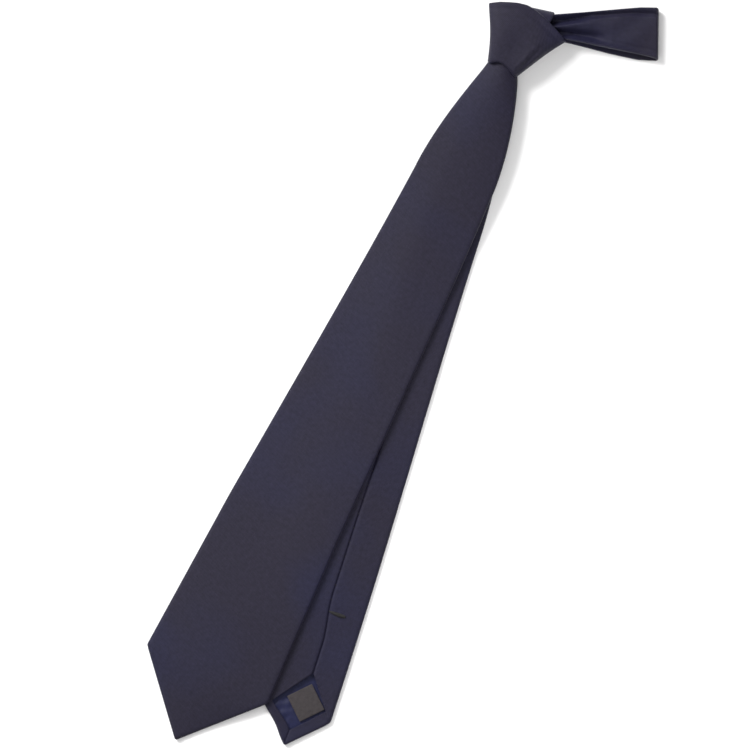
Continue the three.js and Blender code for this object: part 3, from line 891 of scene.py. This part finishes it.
def strands(name, runs, radius, point):
    """Short round-ended strands of thread in one piece. Each run is its two ends as (s, a, z)."""
    pieces = []
    for start, end in runs:
        rows = []
        for v in np.linspace(0.02, 0.98, STRAND_STEPS):
            full = radius * math.sqrt(1 - (2 * v - 1) ** 2)
            angle = np.linspace(0, 2 * math.pi, STRAND_SIDES, endpoint=False)
            middle = np.array(start) * (1 - v) + np.array(end) * v
            s = middle[0] + full * np.cos(angle)
            z = middle[2] + full * np.sin(angle)
            rows.append(point(s, np.full_like(s, middle[1]), z))
        pieces.append(grid(name + "_run", np.array(rows), thread, wrap=True, caps=True))
    return merged(name, pieces)


def merged(name, pieces):
    """One piece out of several, with their faces turned outwards."""
    made = bmesh.new()
    for piece in pieces:
        made.from_mesh(piece.data)
        bpy.data.objects.remove(piece)
    bmesh.ops.recalc_face_normals(made, faces=made.faces)
    mesh = bpy.data.meshes.new(name)
    made.to_mesh(mesh)
    made.free()
    whole = bpy.data.objects.new(name, mesh)
    bpy.context.scene.collection.objects.link(whole)
    mesh.materials.append(thread)
    return whole


def slip_stitches(name, stations, seam, surface, point):
    """One thread that shows as short slanted stitches across a seam."""
    runs = []
    for at in stations:
        middle = seam(at)
        first = (at - 0.45, middle - 0.8, surface(at, middle - 0.8))
        last = (at + 0.45, middle + 0.8, surface(at, middle + 0.8))
        runs.append((first, last))
    return strands(name, runs, STITCH_RADIUS, point)


def tail_back(s, a):
    """Height of the tail's upturned back."""
    return tail_low(s) + tail_lift(s, a) + TAIL_THICK + SILK / 2


def front_under(s, a):
    """Height of the outer face of the blade's back, which is its lowest."""
    return front_back(s, a) - SILK / 2


label_top = tail_low(LABEL_AT) + TAIL_THICK - 0.62
label_corners = square(LABEL_AT, LABEL_SHIFT, LABEL_SIDE, LABEL_SIDE - 0.6, LABEL_TURN)
label = plate("tail_label_cloth", label_corners, label_top, LABEL_THICK, label_cloth, 24, tail_point,
              crown=0.15)
stitches = []
for k in range(4):
    angle = LABEL_TURN + k * math.pi / 2
    reach = LABEL_SIDE / 2 - 0.7
    across = np.array([math.cos(angle), math.sin(angle)])
    middle = np.array([LABEL_AT, LABEL_SHIFT]) + reach * across
    along = np.array([-across[1], across[0]])
    ends = [(*(middle + side * along), label_top + 0.30) for side in (-1, 1)]
    stitches.append(strands(f"label_stitch_thread_{k + 1}", [ends], LABEL_STITCH_RADIUS, tail_point))


def front_seam(s):
    """The blade's back seam runs straight down its middle."""
    return 0.0


def neck_seam(s):
    return -0.5


def tail_stitch_height(s, a):
    return tail_back(s, a) - 0.12


def front_stitch_height(s, a):
    return front_under(s, a) + 0.12


def neck_stitch_height(s, a):
    return PLY + 0.42


tail_tack = bar_tack("tail_bar_tack_thread", TAIL_LENGTH - 84.6, 0.0, 10.4, 2.3, 1.1, 15,
                     tail_back, tail_point, 1)
front_tack = bar_tack("front_bar_tack_thread", FRONT_LENGTH - 96, -5.0, 5.0, 1.5, 0.8, 15,
                      front_under, front_point, -1)
tail_stitch = slip_stitches("tail_slip_stitch_thread", np.arange(24, TAIL_LENGTH - 90, STITCH_STEP),
                            seam_shift, tail_stitch_height, tail_point)
front_stitch = slip_stitches("front_slip_stitch_thread", np.arange(16, FRONT_LENGTH - 100, STITCH_STEP),
                             front_seam, front_stitch_height, front_point)
neck_stitch = slip_stitches("neck_loop_slip_stitch_thread", np.arange(28, FOLD_AT - 4, 6.0),
                            neck_seam, neck_stitch_height, neck_point)


def make_keeper():
    """A flat band of the tie's silk across the back of the blade, folded under along both edges."""
    rows = []
    for a in np.linspace(-KEEPER_HALF, KEEPER_HALF, 60):
        near_end = ease((KEEPER_HALF - abs(a)) / 3.0)
        along, b = rounded_section(-KEEPER_TALL / 2, KEEPER_TALL / 2, KEEPER_THICK, 14, 0.4)
        slack = 0.12 + 0.22 * near_end * math.cos(a / KEEPER_HALF * math.pi / 2)
        ribs = 0.05 * bump(np.abs(along), KEEPER_TALL / 2 - 1.6, 0.5)
        z = front_under(KEEPER_AT, a) - slack - KEEPER_THICK + b + ribs
        rows.append(front_point(KEEPER_AT + along, np.full_like(along, a), z))
    return grid("keeper_loop_cloth", np.array(rows), silk, wrap=True, flip=True)


keeper = thickened(make_keeper(), 0.25, -1.0)
keeper_tacks = {}
for side, name in ((-1, "left"), (1, "right")):
    near, far = sorted((side * (KEEPER_HALF - 0.4), side * (KEEPER_HALF + 2.8)))
    keeper_tacks[name] = bar_tack(f"keeper_tack_{name}_thread", KEEPER_AT, near, far, 1.5, 0.7, 6,
                                  front_under, front_point, -1)

# ---------------------------------------------------------------- riding on the frame

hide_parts("front_silk", "front_interlining")
row(0, -1.0, 11)
row(0, -14.0, 11)
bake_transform(front_piece)
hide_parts("front_tipping")
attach(front_satin, "front_blade")

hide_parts("front_slip_stitch")
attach(front_stitch, "front_blade")
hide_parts("front_bar_tack")
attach(front_tack, "front_blade")
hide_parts("keeper_loop")
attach(keeper, "front_blade")
for name, tack in keeper_tacks.items():
    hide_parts(f"keeper_tack_{name}")
    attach(tack, "front_blade")

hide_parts("tail_silk", "tail_interlining", "tail_shank_silk", "tail_shank_interlining")
before = tail_point(10.0, 0.0, 5.4)
after = tail_point(24.0, 0.0, 5.4)
row(*before)
row(*after)
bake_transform(tail_piece)
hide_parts("tail_tipping")
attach(tail_satin, "tail")
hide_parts("tail_slip_stitch")
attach(tail_stitch, "tail")
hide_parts("tail_bar_tack")
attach(tail_tack, "tail")
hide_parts("tail_label")
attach(label, "tail")
for k, stitch in enumerate(stitches):
    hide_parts(f"label_stitch_{k + 1}")
    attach(stitch, "tail")

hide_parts("knot_band_silk", "knot_band_interlining", "knot_cross_pass_silk",
            "knot_cross_pass_interlining")
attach(band_piece, "knot")
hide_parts("knot_over_fold_silk", "knot_over_fold_interlining")
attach(over_piece, "knot")
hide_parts("neck_loop_slip_stitch")
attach(neck_stitch, "neck_loop")
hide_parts("neck_loop_silk", "neck_loop_interlining",
            "neck_root_lower_silk", "neck_root_lower_interlining",
            "neck_root_upper_silk", "neck_root_upper_interlining")
row(*neck_point(3.0, 0.0, 9))
row(*neck_point(15.0, 0.0, 9))
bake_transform(neck_piece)

# ---------------------------------------------------------------- floor, light, camera

FLOOR_HALF = 4
FLOOR_Z = -0.0002
CAMERA_ROLL = math.radians(26.0)
CAMERA_LENS = 600.0
SENSOR = 36.0
VIEW_WIDTH = 0.45

floor_material, _, _, floor_shader = new_material("pale_floor")
floor_shader.inputs["Base Color"].default_value = (0.93, 0.925, 0.925, 1.0)
floor_shader.inputs["Roughness"].default_value = 0.9
floor_shader.inputs["Specular IOR Level"].default_value = 0.1
floor_mesh = bpy.data.meshes.new("floor")
FLOOR_SQUARE = ((-1, -1), (1, -1), (1, 1), (-1, 1))
floor_corners = [(x * FLOOR_HALF, y * FLOOR_HALF, FLOOR_Z) for x, y in FLOOR_SQUARE]
floor_mesh.from_pydata(floor_corners, [], [(0, 1, 2, 3)])
floor = bpy.data.objects.new("floor", floor_mesh)
floor.data.materials.append(floor_material)
bpy.context.scene.collection.objects.link(floor)

world = bpy.data.worlds.new("studio")
bpy.context.scene.world = world
world.use_nodes = True
world.node_tree.nodes["Background"].inputs["Color"].default_value = (1.0, 1.0, 1.0, 1.0)
world.node_tree.nodes["Background"].inputs["Strength"].default_value = 0.50


def area_light(name, where, aim, size, power):
    data = bpy.data.lights.new(name, "AREA")
    data.shape = "SQUARE"
    data.size = size
    data.energy = power
    lamp = bpy.data.objects.new(name, data)
    bpy.context.scene.collection.objects.link(lamp)
    lamp.location = where
    heading = Vector(aim) - Vector(where)
    lamp.rotation_euler = heading.to_track_quat("-Z", "Y").to_euler()
    return lamp


area_light("key", (-2.9, 0.85, 2.55), (0.02, -0.2, 0.0), 1.7, 238.0)
area_light("fill", (0.8, -1.1, 2.4), (0.02, -0.2, 0.0), 1.8, 10.0)
top = area_light("top", (0.09, -0.22, 0.33), (0.05, -0.22, 0.0), 0.25, 0.42)
top.visible_camera = False

camera_data = bpy.data.cameras.new("camera")
camera = bpy.data.objects.new("camera", camera_data)
bpy.context.scene.collection.objects.link(camera)
camera_data.lens = CAMERA_LENS
camera_data.sensor_width = SENSOR
camera_data.clip_end = 20.0
camera.location = (0.0117, -0.2153, VIEW_WIDTH * CAMERA_LENS / SENSOR)
camera.rotation_euler = (0.0, 0.0, CAMERA_ROLL)
bpy.context.scene.camera = camera
bpy.context.scene.view_settings.view_transform = "Standard"
